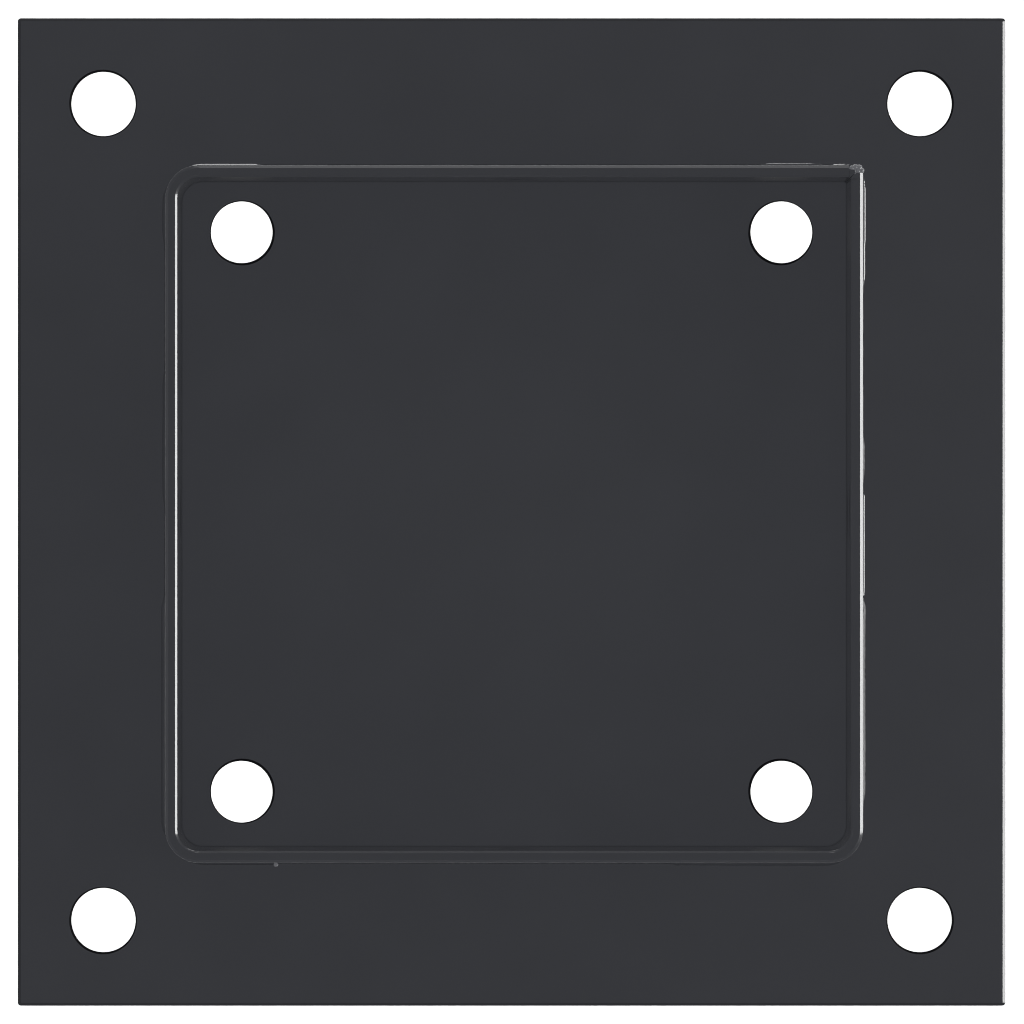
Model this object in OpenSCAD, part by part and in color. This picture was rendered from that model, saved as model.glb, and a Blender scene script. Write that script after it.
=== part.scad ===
// Bolt-down post anchor: a square steel plate with a folded sheet sleeve welded on top of it.
// Millimetres, +Z up. The origin is the middle of the plate's underside.

/* [Post socket] */
// Side of the square timber post that stands in the sleeve
post_size = 100; // [80:1:140]
// Free play between the post and the sleeve, both sides together
post_clearance = 1; // [0.5:0.5:4]
// Thickness of the sleeve's sheet
sheet_t = 1.8; // [1.5:0.1:3]
// Inside radius of the three bends
bend_inner_r = 3.2; // [1.5:0.1:6]
// Height of the whole anchor, from the underside of the plate to the rim
anchor_h = 100; // [80:1:200]
// Width of the sloping edge on the inside of the rim
rim_inner_edge = 0.35; // [0.1:0.05:0.6]
// Width of the sloping edge on the outside of the rim
rim_outer_edge = 0.45; // [0.1:0.05:0.7]
// Distance of the sleeve's axis from the plate's middle, along X
sleeve_off_x = 0.4; // [-1:0.1:1]
// Distance of the sleeve's axis from the plate's middle, along Y
sleeve_off_y = -0.3; // [-1:0.1:1]

/* [Edges] */
// Depth of the rim's outer sloping edge, as a share of its width
rim_outer_slope = 0.6; // [0.4:0.05:1]
// Depth of the rim's inner sloping edge, as a share of its width
rim_inner_slope = 0.75; // [0.4:0.05:1]
// Depth of the plate's sloping edge, as a share of its width
plate_slope = 0.45; // [0.4:0.05:1]

/* [Base plate] */
// Width of the plate that shows outside the sleeve on each side
flange_w = 22.7; // [18:0.1:60]
// Thickness of the plate
plate_t = 4; // [3:0.5:10]
// Width of the sloping edge round the plate's upper face
plate_edge = 0.4; // [0.1:0.05:1]
// Diameter of the four ground bolt holes outside the sleeve
outer_hole_d = 9.8; // [6:0.1:12]
// Distance of those holes' centres from the plate's edges
outer_hole_inset = 13; // [10:0.5:16]
// Diameter of the four ground bolt holes inside the sleeve
inner_hole_d = 9.4; // [6:0.1:11]
// Distance of those holes' centres from the socket's face, along X
inner_hole_inset_x = 9.5; // [8.5:0.5:20]
// Distance of those holes' centres from the socket's face, along Y
inner_hole_inset_y = 8; // [7.5:0.5:20]
// Width of the sloping edge round every hole
hole_edge = 0.2; // [0.1:0.05:0.4]

/* [Post screw holes] */
// Diameter of the holes for the post's screws, two in a column on each wall
side_hole_d = 9; // [5:0.5:12]
// Height of the lower hole above the plate, on the two walls across X
side_hole_low = 24; // [14:1:30]
// Distance between the two holes of a column
side_hole_pitch = 40; // [20:1:40]
// How much higher the holes on the two walls across Y lie, so that through bolts pass each other
side_hole_stagger = 14; // [12.5:0.5:15]

/* [Welds] */
// Leg of the fillet beads between the sleeve and the plate
weld_leg = 1.3; // [0.8:0.1:3]
// How far the beads' faces bulge out past flat
weld_crown = 0.2; // [0.05:0.05:0.3]
// Gap between the two ends of the sheet at the open corner
seam_gap = 0.3; // [0.1:0.1:1]
// How far the seam bead stops short of the rim
seam_stop = 0.6; // [0.1:0.1:3]
// Place along the left wall where two foot beads meet, from the sleeve's axis
left_stop = 22; // [-30:1:30]
// Places along the front wall where foot beads meet
front_stops = [-36, 25];
// Place along the right wall where two foot beads meet
right_stop = 3; // [-30:1:30]

/* [Hidden] */
$fn = 96;
socket = post_size + post_clearance;
half_in = socket / 2;
half_out = half_in + sheet_t;
bend_outer_r = bend_inner_r + sheet_t;
wall_end = half_out - bend_outer_r;
seam_end = half_in - seam_gap;
seam_r = sheet_t + seam_gap;
sleeve_h = anchor_h - plate_t;
plate_size = 2 * (half_out + flange_w);
outer_hole_at = plate_size / 2 - outer_hole_inset;
inner_hole_at = [half_in - inner_hole_inset_x, half_in - inner_hole_inset_y];
over = 1;
RIGHT = 0;
BACK = 1;
LEFT = 2;
FRONT = 3;

// Everything on the sleeve is drawn round its own axis, with z = 0 on the plate's upper face.
module on_plate() {
    translate([sleeve_off_x, sleeve_off_y, plate_t])
        children();
}

// Draws the 2D section along one wall, from a to b measured anticlockwise. The section's x
// runs outwards from the sleeve's outer face, and its y is the height.
module along_wall(side, a, b) {
    rotate([0, 0, 90 * side])
        translate([half_out, b, 0])
            rotate([90, 0, 0])
                linear_extrude(b - a)
                    children();
}

// Draws the same section round the bend at the anticlockwise end of a wall.
module round_bend(side) {
    rotate([0, 0, 90 * side])
        translate([wall_end, wall_end, 0])
            rotate_extrude(angle = 90)
                translate([bend_outer_r, 0])
                    children();
}

// Draws it round the seam weld, which stands at the open corner in place of a bend.
module round_seam() {
    translate([seam_end, seam_end, 0])
        rotate_extrude(angle = 90)
            translate([seam_r, 0])
                children();
}

// A through hole's cutter, from z = 0 up, with both mouths sloped.
module drill(d, depth) {
    r = d / 2;
    mouth = r + hole_edge + over;
    rotate_extrude()
        polygon([
            [0, -over],
            [mouth, -over],
            [r, hole_edge],
            [r, depth - hole_edge],
            [mouth, depth + over],
            [0, depth + over],
        ]);
}

module at_corners(x, y) {
    for (i = [-1, 1], j = [-1, 1])
        translate([i * x, j * y, 0])
            children();
}

// The plate's outline seen from one side, with its upper edges sloped.
module plate_side_view() {
    half = plate_size / 2;
    polygon([
        [-half, 0],
        [half, 0],
        [half, plate_t - plate_edge * plate_slope],
        [half - plate_edge, plate_t],
        [-half + plate_edge, plate_t],
        [-half, plate_t - plate_edge * plate_slope],
    ]);
}

module plate_bar() {
    rotate([90, 0, 0])
        linear_extrude(plate_size, center = true)
            plate_side_view();
}

module base_plate() {
    color([0.22, 0.225, 0.24])
        difference() {
            intersection() {
                plate_bar();
                rotate([0, 0, 90])
                    plate_bar();
            }
            at_corners(outer_hole_at, outer_hole_at)
                drill(outer_hole_d, plate_t);
            at_corners(inner_hole_at[0], inner_hole_at[1])
                drill(inner_hole_d, plate_t);
        }
}

// Section of the sheet: square at the foot, both edges sloped at the rim.
module sheet_section() {
    polygon([
        [-sheet_t, 0],
        [0, 0],
        [0, sleeve_h - rim_outer_edge * rim_outer_slope],
        [-rim_outer_edge, sleeve_h],
        [-sheet_t + rim_inner_edge, sleeve_h],
        [-sheet_t, sleeve_h - rim_inner_edge * rim_inner_slope],
    ]);
}

// Two holes in a column through a wall and the wall across from it.
module screw_holes(side, low) {
    for (side_now = [side, side + 2], step = [0, 1])
        rotate([0, 0, 90 * side_now])
            translate([half_in, 0, low + step * side_hole_pitch])
                rotate([0, 90, 0])
                    drill(side_hole_d, sheet_t);
}

module post_sleeve() {
    color([0.22, 0.225, 0.24])
        on_plate()
            difference() {
                union() {
                    along_wall(RIGHT, -wall_end, seam_end)
                        sheet_section();
                    along_wall(BACK, -seam_end, wall_end)
                        sheet_section();
                    along_wall(LEFT, -wall_end, wall_end)
                        sheet_section();
                    along_wall(FRONT, -wall_end, wall_end)
                        sheet_section();
                    for (side = [BACK, LEFT, FRONT])
                        round_bend(side)
                            sheet_section();
                }
                screw_holes(RIGHT, side_hole_low);
                screw_holes(BACK, side_hole_low + side_hole_stagger);
            }
}

// The bead that closes the corner where the sheet's two ends meet.
module corner_seam_weld() {
    color([0.24, 0.245, 0.26])
        on_plate()
            translate([seam_end, seam_end, 0])
                rotate_extrude(angle = 90)
                    square([seam_r, sleeve_h - seam_stop]);
}

// Section of a foot bead: one leg up the sleeve, one along the plate, and a bulging face.
module bead_section() {
    middle = weld_leg / 2 + weld_crown;
    polygon([[0, 0], [weld_leg, 0], [middle, middle], [0, weld_leg]]);
}

// From the open corner along the back wall and round to the left wall.
module foot_weld_back_left() {
    color([0.24, 0.245, 0.26])
        on_plate() {
            round_seam()
                bead_section();
            along_wall(BACK, -seam_end, wall_end)
                bead_section();
            round_bend(BACK)
                bead_section();
            along_wall(LEFT, -wall_end, -left_stop)
                bead_section();
        }
}

module foot_weld_left_corner() {
    color([0.24, 0.245, 0.26])
        on_plate() {
            along_wall(LEFT, -left_stop, wall_end)
                bead_section();
            round_bend(LEFT)
                bead_section();
            along_wall(FRONT, -wall_end, front_stops[0])
                bead_section();
        }
}

module foot_weld_front() {
    color([0.24, 0.245, 0.26])
        on_plate()
            along_wall(FRONT, front_stops[0], front_stops[1])
                bead_section();
}

module foot_weld_right_corner() {
    color([0.24, 0.245, 0.26])
        on_plate() {
            along_wall(FRONT, front_stops[1], wall_end)
                bead_section();
            round_bend(FRONT)
                bead_section();
            along_wall(RIGHT, -wall_end, right_stop)
                bead_section();
        }
}

module foot_weld_right() {
    color([0.24, 0.245, 0.26])
        on_plate()
            along_wall(RIGHT, right_stop, seam_end)
                bead_section();
}

base_plate();
post_sleeve();
corner_seam_weld();
foot_weld_back_left();
foot_weld_left_corner();
foot_weld_front();
foot_weld_right_corner();
foot_weld_right();
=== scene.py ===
"""Looks of the bolt-down post anchor: its powder coat, its weld beads, the floor, light and camera.

Everything is in metres, in the CAD frame: the origin is the middle of the plate's underside.
"""

import math

import bmesh
import bpy
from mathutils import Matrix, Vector, noise


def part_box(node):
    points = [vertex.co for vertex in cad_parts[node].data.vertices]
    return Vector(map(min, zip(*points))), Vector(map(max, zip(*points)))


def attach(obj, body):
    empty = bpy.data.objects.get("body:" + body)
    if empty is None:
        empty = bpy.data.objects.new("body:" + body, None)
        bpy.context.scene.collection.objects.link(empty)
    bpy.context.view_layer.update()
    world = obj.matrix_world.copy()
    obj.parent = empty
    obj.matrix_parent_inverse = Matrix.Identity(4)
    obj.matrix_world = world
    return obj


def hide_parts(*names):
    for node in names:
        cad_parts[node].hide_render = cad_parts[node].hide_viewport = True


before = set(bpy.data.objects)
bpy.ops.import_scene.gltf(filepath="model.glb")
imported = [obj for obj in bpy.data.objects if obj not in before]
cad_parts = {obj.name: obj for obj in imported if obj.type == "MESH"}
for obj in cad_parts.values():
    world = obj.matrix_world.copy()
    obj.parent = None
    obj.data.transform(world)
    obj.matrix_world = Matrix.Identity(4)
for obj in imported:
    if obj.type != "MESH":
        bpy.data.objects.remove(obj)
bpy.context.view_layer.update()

MM = 0.001
HAIR = 0.002 * MM  # too small to see: flush faces stay this far inside, and closer points are merged
QUARTER = math.pi / 2


# ---------------------------------------------------------------- settings

# Sizes that the boxes of the CAD nodes don't give.
SHEET = 1.8 * MM
BEND_R = 5.0 * MM  # outside radius of the sleeve's bends
COAT_ROUNDING = 0.03 * MM  # by which the coat rounds the sleeve's edges

# The plate's drilling: (radius, distance of the centres from the middle along X and along Y, how far
# each hole's upper edge leans away from the plate's middle).
HOLES = [
    (4.9 * MM, 62.0 * MM, 62.0 * MM, 0.05 * MM),
    (4.7 * MM, 41.0 * MM, 42.5 * MM, -0.10 * MM),
]

# The powder coat. Colours are linear.
COAT_COLOUR = (0.0290, 0.0302, 0.0348)
LUMP_SHEEN_COLOUR = (0.100, 0.102, 0.111)  # a lighter colour on the lumps of weld metal: painted sheen that stands in for their gloss
EDGE_SHADE_COLOUR = (0.0175, 0.0182, 0.0210)  # painted shade: a darker colour on the slopes of the plate's upper edge
TINT_SPREAD = 0.03  # share by which a colour varies to either side
COAT_ROUGHNESS = 0.40
ROUGHNESS_SPREAD = 0.04
GLOSS_ROUGHNESS = 0.11
LUMP_GLOSS_ROUGHNESS = 0.24
CLOUD_SIZE = 14 * MM
PEEL_SIZE = 1.1 * MM
PEEL_DEPTH = 0.012 * MM
WELD_PEEL_DEPTH = 0.010 * MM
GRAIN_SIZE = 0.22 * MM
GRAIN_DEPTH = 0.004 * MM
LUMP_GRAIN_DEPTH = 0.010 * MM
# Painted shade at the holes: a near-black colour on their mouths and bores, its tone varying at random over
# this size.
HOLE_SHADE_SIZE = 0.6 * MM
HOLE_SHADE_DARK = (0.002, 0.002, 0.0025)
HOLE_SHADE_LIGHT = (0.006, 0.006, 0.007)

# The foot beads. The legs are the bead's reach along the plate and up the wall.
FOOT_LEG = 0.80 * MM
WALL_LEG = 1.10 * MM
RING_STEP = 0.13 * MM  # distance between the sections along a bead
SECTION_STEPS = 9  # points from one toe to the other
FACE_POWER = 1.3  # 1 gives the face a flat section, 2 a quarter of an ellipse
SINK = 0.15 * MM  # how far the beads reach into the plate and the wall
LAP = 0.6 * MM  # how far each bead runs past the place where it meets the next
NOSE = 0.9 * MM  # length of the rounded end of a bead
LONG_NOSE = 1.6 * MM
NOSE_STUB = 0.1 * MM  # length by which a nose is cut short
SWELL_BACK = 0.8 * MM  # where a bead swells most, measured back from its end
SWELL_SPREAD = 0.6 * MM
RIPPLE_PITCH = 1.15 * MM
RIPPLE_HEIGHT = 0.035 * MM
SEAM_RIPPLE_HEIGHT = 0.04 * MM
LUMP = 1  # the lumps' place in a bead's list of materials

# A drop of weld metal beside a bead: (distance back from the place where the bead meets the next,
# distance out from the wall, height above the plate, radius).
DROP = (0.2 * MM, 0.99 * MM, 0.5 * MM, 0.36 * MM)

# The foot beads, anticlockwise: (name, nose at the start, share by which the bead swells just before
# its end, drop beside it).
FOOT_BEADS = [
    ("right", LONG_NOSE, 0.0, None),
    ("back_left", NOSE, 0.15, None),
    ("left_corner", LONG_NOSE, 0.2, DROP),
    ("front", LONG_NOSE, 0.1, None),
    ("right_corner", LONG_NOSE, 0.1, None),
]

# Stretches where a foot bead has run wide: (wall, first and last place from the sleeve's axis, extra
# leg along the plate, extra leg up the wall, all in millimetres, how far the toe flares, 0 to 1).
WIDE_STRETCHES = [
    ("right", -43.5, -13.1, 0.26, 0.08, 0),
    ("right", -12.4, 2.9, 0.13, 0.10, 1),
    ("right", 5.2, 11.2, 0.20, 0.06, 0),
    ("right", 35.5, 51.5, 0.20, 0.10, 1),
    ("right", 40.5, 50.4, 0.27, 0.10, 1),
    ("back", 51.6, 48.4, 0.08, 0.10, 1),
    ("back", 46.4, 38.1, 0.19, 0.10, 0.992),
    ("back", -39.0, -49.5, 0.07, 0.10, 1),
    ("left", 49.0, 41.6, 0.34, 0.10, 0),
    ("left", 21.1, 2.1, 0.34, 0.10, 0),
    ("left", -13.1, -48.0, 0.50, 0.15, 0),
    ("front", -48.5, -36.3, 0.20, 0.06, 0),
    ("front", 24.7, 49.5, 0.32, 0.10, 0),
]
STRETCH_EASE = 2.6 * MM  # length over which a stretch comes and goes

# Section of a bead with a fully flared toe: (distance in from the toe, height), in millimetres. A low
# thin toe is followed by a plain sloping face, which goes straight on to the wall.
FLARED_TOE = [
    (0, 0),
    (0.120, 0.090),
    (0.130, 0.0975),
    (0.14, 0.1075),
    (0.15, 0.118),
    (0.25, 0.225),
    (0.35, 0.332),
    (0.45, 0.439),
]

# The lumps at the top of the seam bead: (X and Y from the sleeve's axis, radius), in millimetres.
SEAM_LUMPS = [
    (50.60, 51.84, 0.44),
    (51.10, 51.96, 0.50),
    (51.66, 51.90, 0.54),
    (52.04, 51.48, 0.46),
    (51.00, 51.38, 0.36),
    (51.16, 51.04, 0.28),
    (51.60, 51.42, 0.36),
]

# Light. Strengths are Blender's own: irradiance for suns, watts for lamps, radiance for panels.
OVERHEAD = 3.03
FILL = 0.95  # each of the four suns without shadows
FILL_TILT = math.radians(85)  # their lean from straight down
INSIDE = 0.020  # the lamp between the sleeve's walls
INSIDE_HEIGHT = 86 * MM
INSIDE_RADIUS = 12 * MM
WORLD_SEEN = 1.05  # the background that the camera sees
WORLD_FELT = 0.09  # the one that lights the part
AIM = Vector((0, 0, 50 * MM))  # where the panels point

# Panels that only gloss mirrors: (name, heading and height above the horizon in degrees, radiance,
# width, height).
PANEL_REACH = 1.3
GLOSS_PANELS = [
    ("right", 0, 28, 15.5, 0.40, 0.80),
    ("back", 92, 28, 1.65, 0.36, 0.15),
    ("back_right", 70, 16.3, 4.0, 0.44, 0.10),
    ("left", 180, 28, 0.3, 0.80, 0.15),
    ("front", 270, 28, 0.15, 0.80, 0.15),
]
# A low strip behind the sleeve, which the flared toes mirror: (centre, radiance, width, height).
LOW_STRIP = ((-0.07, 0.553, 0.150), 13.0, 0.26, 0.03)

# The floor, and the square of it under the plate, as half widths.
FLOOR_HALF = 12.0
CARD_HALF = 70 * MM

# The camera looks straight down from far off, so the picture is close to a parallel view.
VIEW_WIDTH = 155.55 * MM
VIEW_SHIFT = 0.07 * MM  # distance of the camera from the frame's axis, along X
LENS = 1700.0
SENSOR = 36.0


# ---------------------------------------------------------------- places from the CAD frame

plate_low, plate_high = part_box("base_plate")
sleeve_low, sleeve_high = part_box("post_sleeve")
seam_low, seam_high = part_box("corner_seam_weld")
PLATE_TOP = plate_high.z
RIM = sleeve_high.z
CENTRE = Vector(((sleeve_low.x + sleeve_high.x) / 2, (sleeve_low.y + sleeve_high.y) / 2))
HALF = (sleeve_high.x - sleeve_low.x) / 2
SEAM_R = seam_high.x - seam_low.x
SEAM_END = seam_low.x - CENTRE.x
WALL_END = HALF - BEND_R

# Runs of the sleeve's foot, anticlockwise from the lower end of the right wall: each is
# (length, "line" or "arc", start point or centre, heading of the wall's outward face in degrees, radius).
FOOT_RUNS = [
    (WALL_END + SEAM_END, "line", (HALF, -WALL_END), 0, 0),
    (QUARTER * SEAM_R, "arc", (SEAM_END, SEAM_END), 0, SEAM_R),
    (SEAM_END + WALL_END, "line", (SEAM_END, HALF), 90, 0),
    (QUARTER * BEND_R, "arc", (-WALL_END, WALL_END), 90, BEND_R),
    (2 * WALL_END, "line", (-HALF, WALL_END), 180, 0),
    (QUARTER * BEND_R, "arc", (-WALL_END, -WALL_END), 180, BEND_R),
    (2 * WALL_END, "line", (-WALL_END, -HALF), 270, 0),
    (QUARTER * BEND_R, "arc", (WALL_END, -WALL_END), 270, BEND_R),
]
SEAM_RUN, BACK_RUN, LEFT_RUN, FRONT_RUN = 1, 2, 4, 6
FOOT_LENGTH = sum(run[0] for run in FOOT_RUNS)


def run_start(index):
    """Distance along the foot of the start of one of its runs."""
    return sum(run[0] for run in FOOT_RUNS[:index])


def foot_place(side, at):
    """Distance along the foot of a place on one wall: at is its X or Y from the sleeve's axis."""
    if side == "right":
        return WALL_END + at
    if side == "back":
        return run_start(BACK_RUN) + SEAM_END - at
    if side == "left":
        return run_start(LEFT_RUN) + WALL_END - at
    return run_start(FRONT_RUN) + WALL_END + at


def foot_point(along):
    """Point on the sleeve's outer face at its foot, and the face's outward direction, both in XY."""
    rest = along % FOOT_LENGTH
    for length, kind, start, heading, radius in FOOT_RUNS:
        if rest <= length:
            break
        rest -= length
    angle = math.radians(heading)
    if kind == "arc":
        angle += rest / radius
        outward = Vector((math.cos(angle), math.sin(angle)))
        return CENTRE + Vector(start) + outward * radius, outward
    outward = Vector((math.cos(angle), math.sin(angle)))
    forward = Vector((-outward.y, outward.x))
    return CENTRE + Vector(start) + forward * rest, outward


# ---------------------------------------------------------------- materials


def new_node(tree, kind, **settings):
    """A shader node, with its sockets or its properties set by name."""
    node = tree.nodes.new(kind)
    for name, value in settings.items():
        if name in node.inputs:
            node.inputs[name].default_value = value
        else:
            setattr(node, name, value)
    return node


def noise_node(tree, place, size, detail, roughness=0.5):
    node = new_node(tree, "ShaderNodeTexNoise", Scale=1 / size, Detail=detail, Roughness=roughness)
    tree.links.new(place.outputs["Object"], node.inputs["Vector"])
    return node


def ranged(tree, source, low, high):
    """The noise's middle stretch spread over low to high."""
    node = new_node(tree, "ShaderNodeMapRange")
    for name, value in {"From Min": 0.3, "From Max": 0.7, "To Min": low, "To Max": high}.items():
        node.inputs[name].default_value = value
    tree.links.new(source, node.inputs["Value"])
    return node.outputs["Result"]


def tinted(tree, shader, source, dark, light):
    """Gives the shader a colour that varies from dark to light with the noise."""
    tint = new_node(tree, "ShaderNodeMix", data_type="RGBA")
    tint.inputs["A"].default_value = (*dark, 1)
    tint.inputs["B"].default_value = (*light, 1)
    tree.links.new(ranged(tree, source.outputs["Fac"], 0, 1), tint.inputs["Factor"])
    tree.links.new(tint.outputs["Result"], shader.inputs["Base Color"])


def powder_coat(
    name,
    peel_depth=PEEL_DEPTH,
    grain_depth=GRAIN_DEPTH,
    colour=COAT_COLOUR,
    gloss_roughness=GLOSS_ROUGHNESS,
):
    """Satin polyester powder: a soft orange peel, fine grain in it and a slightly uneven gloss."""
    material = bpy.data.materials.new(name)
    material.use_nodes = True
    tree = material.node_tree
    shader = tree.nodes["Principled BSDF"]
    place = tree.nodes.new("ShaderNodeTexCoord")
    cloud = noise_node(tree, place, CLOUD_SIZE, 3)
    peel = noise_node(tree, place, PEEL_SIZE, 2)
    grain = noise_node(tree, place, GRAIN_SIZE, 2, 0.6)

    dark = [c * (1 - TINT_SPREAD) for c in colour]
    light = [c * (1 + TINT_SPREAD) for c in colour]
    tinted(tree, shader, cloud, dark, light)
    low, high = COAT_ROUGHNESS - ROUGHNESS_SPREAD, COAT_ROUGHNESS + ROUGHNESS_SPREAD
    tree.links.new(ranged(tree, grain.outputs["Fac"], low, high), shader.inputs["Roughness"])
    shader.inputs["Specular IOR Level"].default_value = 0.2
    shader.inputs["Coat Weight"].default_value = 0.9
    shader.inputs["Coat Roughness"].default_value = gloss_roughness

    peel_bump = new_node(tree, "ShaderNodeBump", Strength=1.0, Distance=peel_depth)
    grain_bump = new_node(tree, "ShaderNodeBump", Strength=1.0, Distance=grain_depth)
    tree.links.new(peel.outputs["Fac"], peel_bump.inputs["Height"])
    tree.links.new(grain.outputs["Fac"], grain_bump.inputs["Height"])
    tree.links.new(peel_bump.outputs["Normal"], grain_bump.inputs["Normal"])
    tree.links.new(grain_bump.outputs["Normal"], shader.inputs["Normal"])
    return material


def painted_hole_shade():
    """Painted shade: a near-black colour on the mouths and bores of the holes, its tone varying at random.
    """
    material = bpy.data.materials.new("hole_edge")
    material.use_nodes = True
    tree = material.node_tree
    shader = tree.nodes["Principled BSDF"]
    place = tree.nodes.new("ShaderNodeTexCoord")
    shade_noise = noise_node(tree, place, HOLE_SHADE_SIZE, 3)
    tinted(tree, shader, shade_noise, HOLE_SHADE_DARK, HOLE_SHADE_LIGHT)
    shader.inputs["Roughness"].default_value = 0.75
    shader.inputs["Specular IOR Level"].default_value = 0.1
    return material


def floor_material():
    material = bpy.data.materials.new("white_floor")
    material.use_nodes = True
    shader = material.node_tree.nodes["Principled BSDF"]
    shader.inputs["Base Color"].default_value = (0.97, 0.97, 0.97, 1)
    shader.inputs["Roughness"].default_value = 1.0
    shader.inputs["Specular IOR Level"].default_value = 0.0
    return material


# ---------------------------------------------------------------- meshes


def link_object(name, data):
    made = bpy.data.objects.new(name, data)
    bpy.context.scene.collection.objects.link(made)
    return made


def replace_node(name, mesh, materials, node):
    """Puts a finished mesh in the scene in place of its CAD node."""
    for material in materials:
        mesh.materials.append(material)
    piece = link_object(name, mesh)
    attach(piece, "root")
    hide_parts(node)


def finish_bead(name, bm, materials, node):
    """Turns a bead's bmesh into its piece, smooth but for its sharp edges."""
    mesh = bpy.data.meshes.new(name)
    bm.to_mesh(mesh)
    bm.free()
    mesh.polygons.foreach_set("use_smooth", [True] * len(mesh.polygons))
    mesh.set_sharp_from_angle(angle=math.radians(55))
    replace_node(name, mesh, materials, node)


def ring_faces(bm, one, two):
    """Faces between two closed loops of equally many points."""
    count = len(one)
    faces = []
    for i in range(count):
        j = (i + 1) % count
        faces.append(bm.faces.new((one[i], one[j], two[j], two[i])))
    return faces


def closed_tube(rings):
    """Closed tube through loops of points, one after the other."""
    bm = bmesh.new()
    made = [[bm.verts.new(point) for point in ring] for ring in rings]
    for one, two in zip(made, made[1:]):
        ring_faces(bm, one, two)
    bm.faces.new(reversed(made[0]))
    bm.faces.new(made[-1])
    bmesh.ops.recalc_face_normals(bm, faces=bm.faces)
    return bm


def add_prism(bm, outline, low, high):
    """Upright prism on a plan outline."""
    lower = [bm.verts.new((x, y, low)) for x, y in outline]
    upper = [bm.verts.new((x, y, high)) for x, y in outline]
    bm.faces.new(reversed(lower))
    bm.faces.new(upper)
    ring_faces(bm, lower, upper)


def add_lump(bm, middle, radius, seed):
    """A rough, flattened blob of weld metal. None stands above the rim."""
    made = bmesh.ops.create_icosphere(bm, subdivisions=4, radius=radius)
    # The lumps take the lighter colour of painted sheen.
    for face in {face for vert in made["verts"] for face in vert.link_faces}:
        face.material_index = LUMP
    for vert in made["verts"]:
        place = vert.co / MM + Vector((seed * 5.1, 0, 3))
        rough = noise.noise(place * 2.2) + 0.3 * noise.noise(place * 5.0)
        vert.co *= 0.94 + 0.14 * rough
        vert.co.z *= 0.85
        vert.co += middle
        vert.co.z = min(vert.co.z, RIM - HAIR / 2)


def wander(along, seed, size):
    """Smooth noise from -1 to 1 along a bead, with features of about the size given."""
    return noise.noise(Vector((along / size, seed * 7.3, 0.5)))


def ripple(along, across, seed):
    """Height, from 0 to about 1, of a bead's crescent ripples. across is 0 at one toe, 1 at the other."""
    bow = 0.55 * (2 * across - 1) ** 2
    drift = 0.9 * wander(along, seed + 31, 8 * MM) + 0.25 * wander(along, seed + 37, 2.5 * MM)
    phase = (along / RIPPLE_PITCH + bow + drift) % 1.0
    strength = 0.6 + 0.8 * wander(along, seed + 43, 3.5 * MM)
    return max(0.1, strength) * math.sin(math.pi * phase**0.7) ** 1.5


# ---------------------------------------------------------------- foot beads

STRETCHES = [
    (foot_place(side, first * MM), foot_place(side, last * MM), wide * MM, tall * MM, flare)
    for side, first, last, wide, tall, flare in WIDE_STRETCHES
]


def extra_legs(along):
    """Extra length of the foot bead's two legs at a place and the flare of its toe, eased in and out."""
    along %= FOOT_LENGTH
    most = (0.0, 0.0, 0.0)
    for first, last, wide, tall, flare in STRETCHES:
        inside = min(along - first, last - along)
        ease = min(1.0, max(0.0, inside / STRETCH_EASE + 0.5))
        ease = ease * ease * (3 - 2 * ease)
        most = max(most, (wide * ease, tall * ease, flare * min(1.0, 2 * ease)))
    return most


def foot_section(along, seed, nose, swell):
    """Section of a foot bead from its toe on the plate to its toe on the wall: (out, up) points."""
    wide, tall, flare = extra_legs(along)
    flare *= nose
    uneven = 0.05 * wander(along, seed, 7 * MM) + 0.04 * wander(along, seed + 5, 1.9 * MM)
    uneven *= 1 - 0.85 * flare  # a flared toe runs nearly straight
    foot_leg = (FOOT_LEG + wide + uneven * MM) * swell * nose
    uneven = 0.08 * wander(along, seed + 11, 9 * MM) + 0.05 * wander(along, seed + 17, 2.3 * MM)
    wall_leg = (WALL_LEG + tall + uneven * MM) * swell * nose

    section = []
    for i in range(SECTION_STEPS):
        across = i / (SECTION_STEPS - 1)
        turn = QUARTER * across
        reach = (math.cos(turn) ** FACE_POWER + math.sin(turn) ** FACE_POWER) ** (-1 / FACE_POWER)
        fade = 0.35 + 0.65 * math.sin(math.pi * across)
        lift = RIPPLE_HEIGHT * nose * ripple(along, across, seed) * fade
        out = (foot_leg * reach + lift) * math.cos(turn)
        up = (wall_leg * reach + lift) * math.sin(turn)
        if i < len(FLARED_TOE):
            toe_in, toe_up = FLARED_TOE[i]
            out += flare * (foot_leg - toe_in * MM - out)
            up += flare * (toe_up * MM - up)
        section.append((out, up))
    section[0] = (section[0][0], 0.0)
    section[-1] = (0.0, section[-1][1])
    return section


def beside_foot(along, out, up):
    """The point at a distance out from the sleeve and a height above the plate."""
    point, outward = foot_point(along)
    return Vector((point.x + outward.x * out, point.y + outward.y * out, PLATE_TOP + up))


def foot_ring(along, section):
    """Loop of points round a section at a place along the foot, with its back and underside sunk."""
    toe, top = section[0][0], section[-1][1]
    sunk = [(-SINK, top * 0.9), (-SINK, -SINK), (toe * 0.9, -SINK)]
    return [beside_foot(along, out, up) for out, up in section + sunk]


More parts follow.
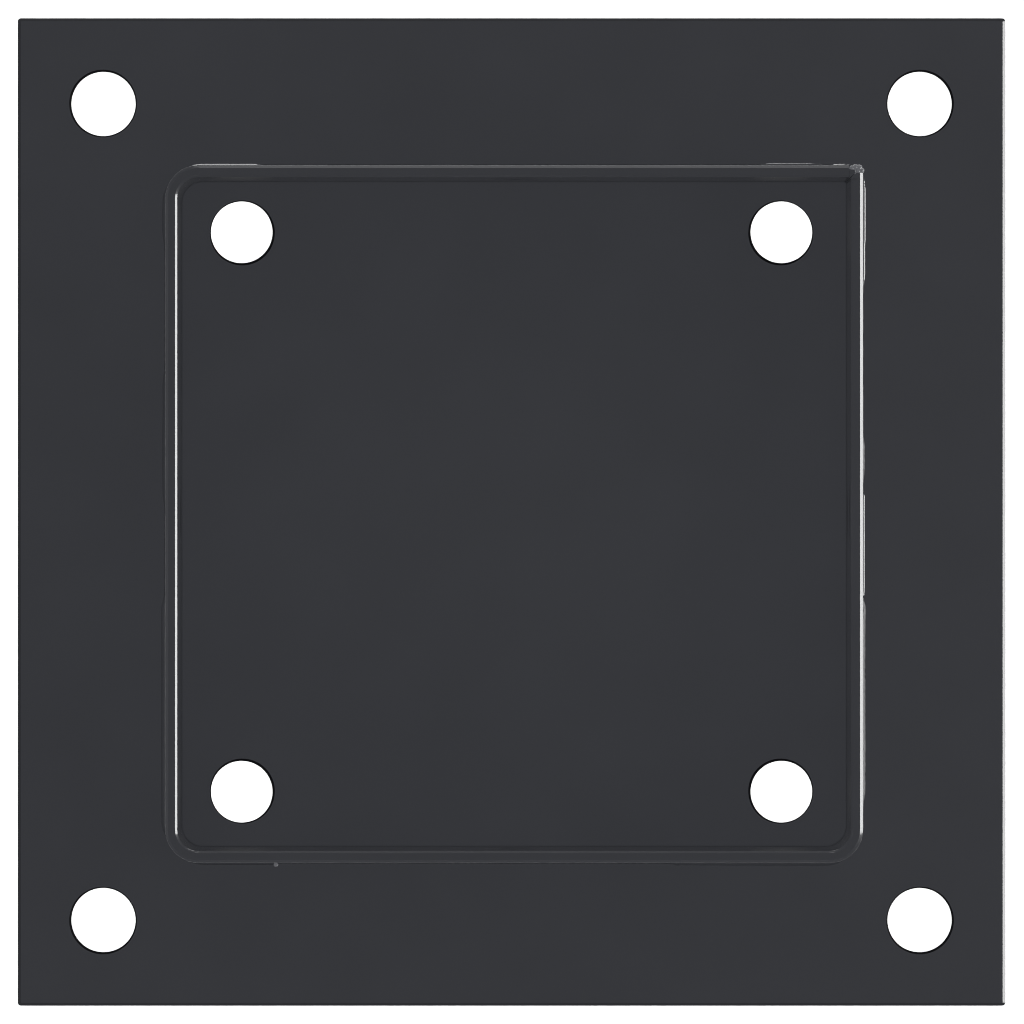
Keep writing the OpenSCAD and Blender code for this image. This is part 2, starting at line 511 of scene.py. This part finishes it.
def foot_bead(name, start, end, seed, first_nose, last_swell, drop, materials):
    """A fillet bead along the sleeve's foot, with ripples, uneven legs and a rounded nose at each end."""
    rings = []
    steps = int((end - start) / RING_STEP)
    for k in range(steps + 1):
        along = start + (end - start) * k / steps
        from_start, from_end = along - start, end - along
        nose = min(1.0, (from_start + NOSE_STUB) / first_nose) * min(1.0, (from_end + NOSE_STUB) / NOSE)
        nose = math.sqrt(max(0.0, 1 - (1 - nose) ** 2))
        swell = 1 + last_swell * math.exp(-(((from_end - SWELL_BACK) / SWELL_SPREAD) ** 2))
        rings.append(foot_ring(along, foot_section(along, seed, nose, swell)))
    bm = closed_tube(rings)
    if drop:
        back, out, up, radius = drop
        add_lump(bm, beside_foot(end - LAP - back, out, up), radius, seed)
    finish_bead("foot_bead_" + name, bm, materials, "foot_weld_" + name)


def foot_beads(materials):
    """The five beads, each from one meeting place to the next."""
    front_low, front_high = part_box("foot_weld_front")
    stops = [
        foot_place("right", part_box("foot_weld_right")[0].y - CENTRE.y),
        run_start(SEAM_RUN),
        foot_place("left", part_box("foot_weld_left_corner")[1].y - CENTRE.y),
        foot_place("front", front_low.x - CENTRE.x),
        foot_place("front", front_high.x - CENTRE.x),
    ]
    ends = stops[1:] + [FOOT_LENGTH + stops[0]]
    for index, (name, first_nose, last_swell, drop) in enumerate(FOOT_BEADS):
        start, end = stops[index] - LAP, ends[index] + LAP
        foot_bead(name, start, end, index + 1, first_nose, last_swell, drop, materials)


# ---------------------------------------------------------------- seam bead

# The bead at the open corner, in plan from the sleeve's axis. A gap along the diagonal splits its root.
SEAM_TOE = math.radians(9)  # how far round the bead laps on to the walls
SEAM_STEPS = 13  # points across its face
SEAM_ROOT = SEAM_END + 0.05 * MM
ROOT_GAP = 0.10 * MM
GAP_END = SEAM_END + 0.95 * MM
SEAM_FOOT = PLATE_TOP + 0.2 * MM
SEAM_TOP = RIM - 0.55 * MM
MITRE_DEPTH = 0.5 * MM  # how far the ends of the sheet reach down past the bead's top


def seam_ring(z):
    """Outline of the seam bead at one height: a crowned, rippled face outside and the split root inside."""
    crown = 0.10 * MM * (1 + 0.8 * wander(z, 41, 5 * MM))
    edge = (SEAM_R - 0.03 * MM) / math.cos(SEAM_TOE)
    outline = []
    for i in range(SEAM_STEPS):
        across = i / (SEAM_STEPS - 1)
        turn = -SEAM_TOE + (QUARTER + 2 * SEAM_TOE) * across
        lift = SEAM_RIPPLE_HEIGHT * ripple(z, across, 43) * math.sin(math.pi * across) ** 2
        middle = SEAM_R + crown + lift
        reach = edge + (middle - edge) * math.sin(math.pi * across) ** 0.6
        outline.append((SEAM_END + reach * math.cos(turn), SEAM_END + reach * math.sin(turn)))
    outline += [
        (SEAM_ROOT, HALF - 0.5 * SHEET),
        (SEAM_ROOT, SEAM_ROOT + ROOT_GAP),
        (GAP_END, GAP_END),
        (SEAM_ROOT + ROOT_GAP, SEAM_ROOT),
        (HALF - 0.5 * SHEET, SEAM_ROOT),
    ]
    return [(CENTRE.x + x, CENTRE.y + y, z) for x, y in outline]


def add_mitre(bm):
    """The sheet's two ends run on to a mitre, flush with the rim. The right one keeps its sloping edge."""
    foot = SEAM_TOP - MITRE_DEPTH
    outer = HALF - 0.45 * MM
    mitre = HALF - 1.15 * MM
    back_half = [
        (SEAM_ROOT, SEAM_ROOT + ROOT_GAP),
        (GAP_END, GAP_END),
        (GAP_END, HALF - 0.75 * MM),
        (SEAM_ROOT, HALF - 0.6 * MM),
    ]
    right_half = [(SEAM_ROOT + ROOT_GAP, SEAM_ROOT), (outer, SEAM_ROOT), (outer, mitre), (GAP_END, GAP_END)]
    for outline in (back_half, right_half):
        add_prism(bm, [(CENTRE.x + x, CENTRE.y + y) for x, y in outline], foot, RIM - HAIR)

    face = HALF - 2 * HAIR
    section = [(outer, RIM - 2 * HAIR), (face, RIM - 0.27 * MM), (face, foot), (outer, foot)]
    ends = [
        [bm.verts.new((CENTRE.x + x, CENTRE.y + y, z)) for x, z in section]
        for y in (SEAM_END - 0.10 * MM, mitre)
    ]
    bm.faces.new(ends[0])
    bm.faces.new(reversed(ends[1]))
    ring_faces(bm, ends[1], ends[0])


def seam_bead(materials):
    """The upright bead at the open corner, with lumps of weld metal over its top."""
    steps = int((SEAM_TOP - SEAM_FOOT) / RING_STEP)
    bm = closed_tube([seam_ring(SEAM_FOOT + (SEAM_TOP - SEAM_FOOT) * k / steps) for k in range(steps + 1)])
    add_mitre(bm)
    for index, (x, y, radius) in enumerate(SEAM_LUMPS):
        middle = Vector((CENTRE.x + x * MM, CENTRE.y + y * MM, RIM - 0.80 * radius * MM))
        add_lump(bm, middle, radius * MM, index)
    bmesh.ops.recalc_face_normals(bm, faces=bm.faces)
    finish_bead("corner_seam_bead", bm, materials, "corner_seam_weld")


# ---------------------------------------------------------------- base plate

# Profiles of the plate's edges, in millimetres, each listed from the top down.
# The upper edge: (distance in from the side, distance down from the top).
PLATE_EDGE = [(0.45, 0), (0.40, 0.01), (0.35, 0.03), (0.05, 0.165), (0.015, 0.20), (0, 0.25)]
EDGE_SHADE_DEPTH = 0.19  # distance down from the top to which the edge takes the colour of painted shade
# The lower edge: (distance in from the side, height above the underside).
PLATE_FOOT = [(0, 0.12), (0.035, 0.035), (0.12, 0)]
# A hole's upper edge: (distance out from the bore, distance down from the top).
HOLE_MOUTH = [(0.24, 0), (0.20, 0.008), (0.035, 0.165), (0, 0.23)]
# A hole's lower edge: (distance out from the bore, height above the underside).
HOLE_FOOT = [(0, 0.2), (0.2, 0)]
PLATE_CORNER = 0.5 * MM
CORNER_STEPS = 6
CIRCLE_STEPS = 96
COAT, HOLE_SHADE, EDGE_SHADE = 0, 1, 2  # the plate's materials: the coat, the painted shade at the holes and the painted shade on the upper edge


def rounded_square(half, radius, z):
    """Loop of points round a square with rounded corners."""
    corner = half - radius
    points = []
    for quarter in range(4):
        side_x = 1 if quarter in (0, 3) else -1
        side_y = 1 if quarter in (0, 1) else -1
        for i in range(CORNER_STEPS + 1):
            turn = QUARTER * (quarter + i / CORNER_STEPS)
            x = corner * side_x + radius * math.cos(turn)
            y = corner * side_y + radius * math.sin(turn)
            points.append((x, y, z))
    return points


def circle(x, y, radius, z):
    turns = [2 * math.pi * i / CIRCLE_STEPS for i in range(CIRCLE_STEPS)]
    return [(x + radius * math.cos(turn), y + radius * math.sin(turn), z) for turn in turns]


def loop_edges(bm, loop):
    return [bm.edges.get((a, b)) for a, b in zip(loop, loop[1:] + loop[:1])]


def skin(bm, loops, material_index):
    """Joins loops of points, one after the other, and gives back the loops of vertices."""
    made = [[bm.verts.new(point) for point in loop] for loop in loops]
    for one, two in zip(made, made[1:]):
        for face in ring_faces(bm, one, two):
            face.smooth = True
            face.material_index = material_index
    return made


def plate_sides(bm, half, top, low):
    """The plate's four sides with their edges, whose faces meet in hard lines."""
    rims = [rounded_square(half - a * MM, PLATE_CORNER - a * MM, top - b * MM) for a, b in PLATE_EDGE]
    rims += [rounded_square(half - a * MM, PLATE_CORNER - a * MM, low + b * MM) for a, b in PLATE_FOOT]
    made = skin(bm, rims, COAT)
    for loop in made:
        for edge in loop_edges(bm, loop):
            edge.smooth = False
    # Faces near the top of the edge take the darker colour of painted shade.
    for face in bm.faces:
        if face.calc_center_median().z > top - EDGE_SHADE_DEPTH * MM:
            face.material_index = EDGE_SHADE
    return made[0], made[-1]


def hole_wall(bm, x, y, radius, lean_x, lean_y, top, low):
    """The wall of one hole, whose upper edge leans to one side."""
    rings = []
    for a, b in HOLE_MOUTH:
        share = a / HOLE_MOUTH[0][0]
        rings.append(circle(x + lean_x * share, y + lean_y * share, radius + a * MM, top - b * MM))
    rings += [circle(x, y, radius + a * MM, low + b * MM) for a, b in HOLE_FOOT]
    # The mouth and bore take the near-black colour of painted shade.
    made = skin(bm, rings, HOLE_SHADE)
    return made[0], made[-1]


def base_plate(coat, edge_shade_coat, hole_shade_paint):
    """The plate, with broken edges and eight drilled holes whose mouths are a little uneven."""
    bm = bmesh.new()
    top, low = plate_high.z, plate_low.z
    edges = [plate_sides(bm, plate_high.x, top, low)]
    for radius, out_x, out_y, lean in HOLES:
        for side_x in (1, -1):
            for side_y in (1, -1):
                x, y = side_x * out_x, side_y * out_y
                edges.append(hole_wall(bm, x, y, radius, side_x * lean, side_y * lean, top, low))
    for loops in zip(*edges):
        outline = [edge for loop in loops for edge in loop_edges(bm, loop)]
        filled = bmesh.ops.triangle_fill(bm, edges=outline, use_beauty=True)
        for face in filled["geom"]:
            if isinstance(face, bmesh.types.BMFace):
                face.smooth = False
    bmesh.ops.recalc_face_normals(bm, faces=bm.faces)
    mesh = bpy.data.meshes.new("plate")
    bm.to_mesh(mesh)
    bm.free()
    replace_node("plate", mesh, [coat, hole_shade_paint, edge_shade_coat], "base_plate")


# ---------------------------------------------------------------- sleeve


def finish_sleeve(coat):
    """Coats the sleeve's CAD node and rounds its edges by the coat's build-up."""
    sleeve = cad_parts["post_sleeve"]
    sleeve.data.materials.clear()
    sleeve.data.materials.append(coat)
    join = sleeve.modifiers.new("join", "WELD")
    join.merge_threshold = HAIR
    soft = sleeve.modifiers.new("soft_edges", "BEVEL")
    soft.width = COAT_ROUNDING
    soft.segments = 3
    soft.limit_method = "ANGLE"
    soft.angle_limit = math.radians(28)
    even = sleeve.modifiers.new("even_shading", "WEIGHTED_NORMAL")
    even.keep_sharp = True


# ---------------------------------------------------------------- stage


def flat_mesh(name, corners, faces, z, material):
    mesh = bpy.data.meshes.new(name)
    mesh.from_pydata([(x, y, z) for x, y in corners], [], faces)
    mesh.materials.append(material)
    sheet = link_object(name, mesh)
    return sheet


def square(half):
    return [(-half, -half), (half, -half), (half, half), (-half, half)]


def make_floor():
    """A white floor. The part of it under the plate is a card of its own that gloss doesn't mirror."""
    material = floor_material()
    around = [(i, (i + 1) % 4, 4 + (i + 1) % 4, 4 + i) for i in range(4)]
    flat_mesh("floor", square(FLOOR_HALF) + square(CARD_HALF), around, -0.02 * MM, material)
    card = flat_mesh("floor_card", square(CARD_HALF + 2 * MM), [(0, 1, 2, 3)], -0.03 * MM, material)
    card.visible_glossy = False


def add_light(name, kind, energy):
    data = bpy.data.lights.new(name, kind)
    data.energy = energy
    return link_object(name, data)


def gloss_panel(name, place, radiance, width, height):
    """A panel that points at the part, and that only gloss mirrors."""
    panel = add_light("gloss_" + name, "AREA", radiance * math.pi * width * height)
    panel.data.shape = "RECTANGLE"
    panel.data.size = width
    panel.data.size_y = height
    panel.location = place
    panel.rotation_euler = (AIM - Vector(place)).to_track_quat("-Z", "Y").to_euler()
    panel.visible_camera = False
    panel.visible_diffuse = False


def make_lights():
    # Even light from straight above reaches the floor of the socket as well as the flange.
    overhead = add_light("overhead", "SUN", OVERHEAD)
    overhead.data.angle = math.radians(0.25)
    overhead.visible_glossy = False

    # Weak low fill from the four sides, without shadows, keeps the inside of the sleeve from going black.
    for index in range(4):
        fill = add_light(f"fill_{index}", "SUN", FILL)
        fill.data.angle = math.radians(10)
        fill.data.use_shadow = False
        fill.rotation_euler = (0, FILL_TILT, index * QUARTER)
        fill.visible_glossy = False

    # A small lamp between the sleeve's walls keeps them as light as the plate they stand on.
    inside = add_light("inside", "POINT", INSIDE)
    inside.data.shadow_soft_size = INSIDE_RADIUS
    inside.location = (CENTRE.x, CENTRE.y, INSIDE_HEIGHT)
    inside.visible_glossy = False
    inside.visible_camera = False

    # Glossy panels on the four sides pick out the sloping edges that face them.
    for name, heading, lift, radiance, width, height in GLOSS_PANELS:
        turn, lift = math.radians(heading), math.radians(lift)
        across = PANEL_REACH * math.cos(lift)
        place = (across * math.cos(turn), across * math.sin(turn), PANEL_REACH * math.sin(lift))
        gloss_panel(name, place, radiance, width, height)
    gloss_panel("low", *LOW_STRIP)


def make_world():
    """A white background for the camera, and a weak even light for the part."""
    world = bpy.data.worlds.new("studio")
    bpy.context.scene.world = world
    world.use_nodes = True
    tree = world.node_tree
    tree.nodes.clear()
    seen = new_node(tree, "ShaderNodeBackground", Color=(1, 1, 1, 1), Strength=WORLD_SEEN)
    felt = new_node(tree, "ShaderNodeBackground", Color=(1, 1, 1, 1), Strength=WORLD_FELT)
    which = tree.nodes.new("ShaderNodeLightPath")
    mix = tree.nodes.new("ShaderNodeMixShader")
    out = tree.nodes.new("ShaderNodeOutputWorld")
    tree.links.new(which.outputs["Is Camera Ray"], mix.inputs["Fac"])
    tree.links.new(felt.outputs["Background"], mix.inputs[1])
    tree.links.new(seen.outputs["Background"], mix.inputs[2])
    tree.links.new(mix.outputs["Shader"], out.inputs["Surface"])


def make_camera():
    data = bpy.data.cameras.new("camera")
    data.sensor_width = SENSOR
    data.lens = LENS
    distance = VIEW_WIDTH * LENS / SENSOR
    data.clip_start = 1.0
    data.clip_end = distance * 2
    camera = link_object("camera", data)
    camera.location = (VIEW_SHIFT, 0, PLATE_TOP + distance)
    bpy.context.scene.camera = camera


def picture_settings():
    bpy.context.scene.cycles.filter_width = 1.0
    view = bpy.context.scene.view_settings
    view.view_transform = "Standard"
    view.look = "None"


# ---------------------------------------------------------------- making

plate_coat = powder_coat("plate_coat")
sleeve_coat = powder_coat("sleeve_coat")
weld_coat = powder_coat("weld_coat", WELD_PEEL_DEPTH)
# The lumps' lighter colour is painted sheen in place of their gloss.
lump_sheen_coat = powder_coat("lump_sheen_coat", WELD_PEEL_DEPTH, LUMP_GRAIN_DEPTH, LUMP_SHEEN_COLOUR, LUMP_GLOSS_ROUGHNESS)
# The upper edge of the plate gets a darker colour, painted shade.
edge_shade_coat = powder_coat("edge_shade_coat", colour=EDGE_SHADE_COLOUR)
base_plate(plate_coat, edge_shade_coat, painted_hole_shade())
finish_sleeve(sleeve_coat)
foot_beads([weld_coat, lump_sheen_coat])
seam_bead([weld_coat, lump_sheen_coat])
make_floor()
make_lights()
make_world()
make_camera()
picture_settings()
